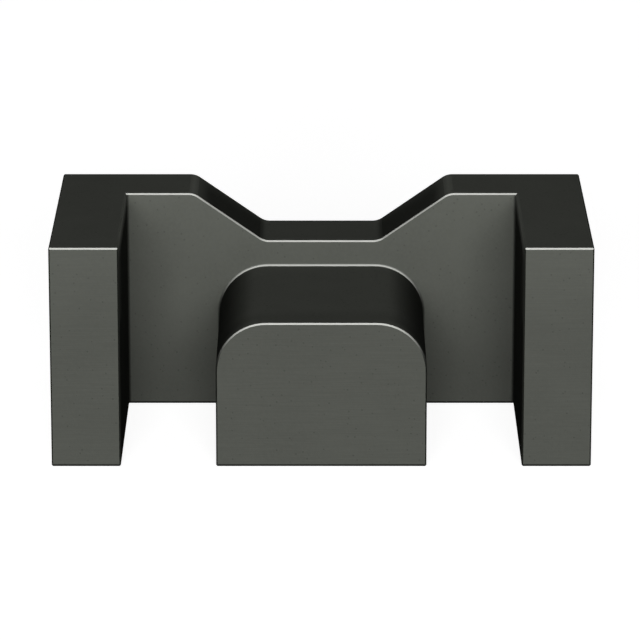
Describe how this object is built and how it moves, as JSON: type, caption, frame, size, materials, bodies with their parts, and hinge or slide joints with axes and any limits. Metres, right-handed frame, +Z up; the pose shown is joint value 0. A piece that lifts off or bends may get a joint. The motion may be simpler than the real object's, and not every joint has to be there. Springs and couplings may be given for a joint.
{
  "type": "ferrite e core",
  "caption": "Half of an E-shaped ferrite core with a low D-shaped centre post and a notched yoke, for a transformer or choke.",
  "frame": {"origin": "middle of the flat base that the core stands on", "axes": "+X across the two outer legs, +Y from the mating faces to the back of the yoke, +Z up from the base"},
  "size_m": [0.03, 0.0162, 0.0126],
  "materials": {
    "ferrite": "matt sintered, dark grey; mating faces ground"
  },
  "bodies": {
    "root": {"core": "ferrite"}
  },
  "joints": []
}
